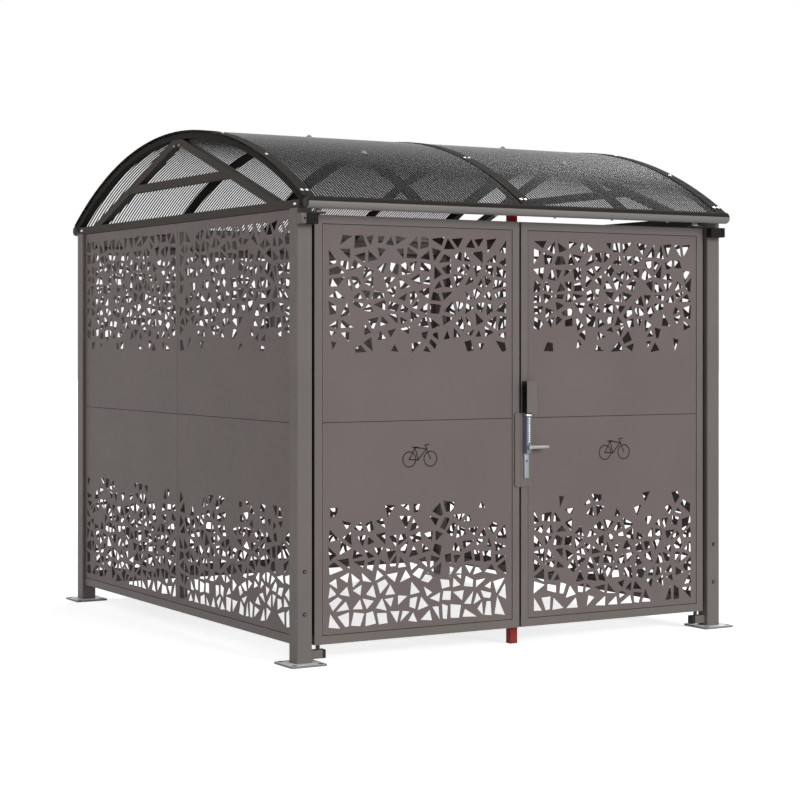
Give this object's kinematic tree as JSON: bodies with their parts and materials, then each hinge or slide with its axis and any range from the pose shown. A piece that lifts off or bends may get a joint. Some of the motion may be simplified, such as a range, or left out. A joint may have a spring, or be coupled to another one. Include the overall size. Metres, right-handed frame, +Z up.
{
  "type": "bike shelter",
  "caption": "Lockable bicycle shelter with square posts, walls and twin swing doors of shard-perforated sheet steel, and an arched roof of smoked twin-wall sheet.",
  "frame": {"origin": "on the ground, midway between the four posts", "axes": "+X along the doors to the right as seen from the front, +Y to the back, +Z up"},
  "size_m": [2.605, 2.9338, 2.5882],
  "materials": {
    "frame_paint": "satin powder coat",
    "sheet_paint": "satin powder coat",
    "roof_paint": "satin powder coat",
    "smoked_sheet": "gloss, see-through",
    "galvanised_steel": "hot-dip galvanised",
    "black_rubber": "matt",
    "black_plastic": "matt",
    "red_paint": "satin paint",
    "lock_metal": "satin"
  },
  "bodies": {
    "shelter": {"bracket_caps": "black_plastic", "centre_cap_strip": "roof_paint", "centre_hoop": "roof_paint", "centre_stop_post": "red_paint", "door_buffers": "black_rubber", "foot_plates": "galvanised_steel", "front_eave_tube": "frame_paint", "front_left_post": "frame_paint", "front_right_post": "frame_paint", "hinge_brackets": "frame_paint", "hinge_hangers": "frame_paint", "left_end_cap_strip": "roof_paint", "left_end_hoop": "roof_paint", "left_gable_chord": "roof_paint", "left_gable_collar": "roof_paint", "left_gable_rafters": "roof_paint", "left_quarter_hoop": "roof_paint", "left_roof_sheet": "smoked_sheet", "left_wall_frame": "frame_paint", "left_wall_sheets": "sheet_paint", "rear_eave_tube": "frame_paint", "rear_left_post": "frame_paint", "rear_right_post": "frame_paint", "rear_wall_frame": "frame_paint", "rear_wall_sheets": "sheet_paint", "right_end_cap_strip": "roof_paint", "right_end_hoop": "roof_paint", "right_gable_chord": "roof_paint", "right_gable_collar": "roof_paint", "right_gable_rafters": "roof_paint", "right_quarter_hoop": "roof_paint", "right_roof_sheet": "smoked_sheet", "right_wall_frame": "frame_paint", "right_wall_sheets": "sheet_paint"},
    "left_door": {"keeper_plate": "frame_paint", "left_door_frame": "frame_paint", "left_door_sheets": "sheet_paint"},
    "right_door": {"keyhole_plate": "lock_metal", "keypad_lock": "lock_metal", "lock_plate": "frame_paint", "pull_grip": "frame_paint", "right_door_frame": "frame_paint", "right_door_sheets": "sheet_paint"},
    "lock_lever": {"lever": "lock_metal"}
  },
  "joints": [
    {"name": "left_door_hinge", "type": "hinge", "parent": "shelter", "child": "left_door", "pos_m": [-1.12, -1.331, 1], "axis": [0, 0, -1], "range_deg": [0, 95]},
    {"name": "right_door_hinge", "type": "hinge", "parent": "shelter", "child": "right_door", "pos_m": [1.12, -1.331, 1], "axis": [0, 0, 1], "range_deg": [0, 95]},
    {"name": "lever_turn", "type": "hinge", "parent": "right_door", "child": "lock_lever", "pos_m": [0.0285, -1.4, 0.977], "axis": [0, 1, 0], "range_deg": [0, 40], "stiffness_Nm_per_rad": 2, "springref_deg": -20.05}
  ]
}
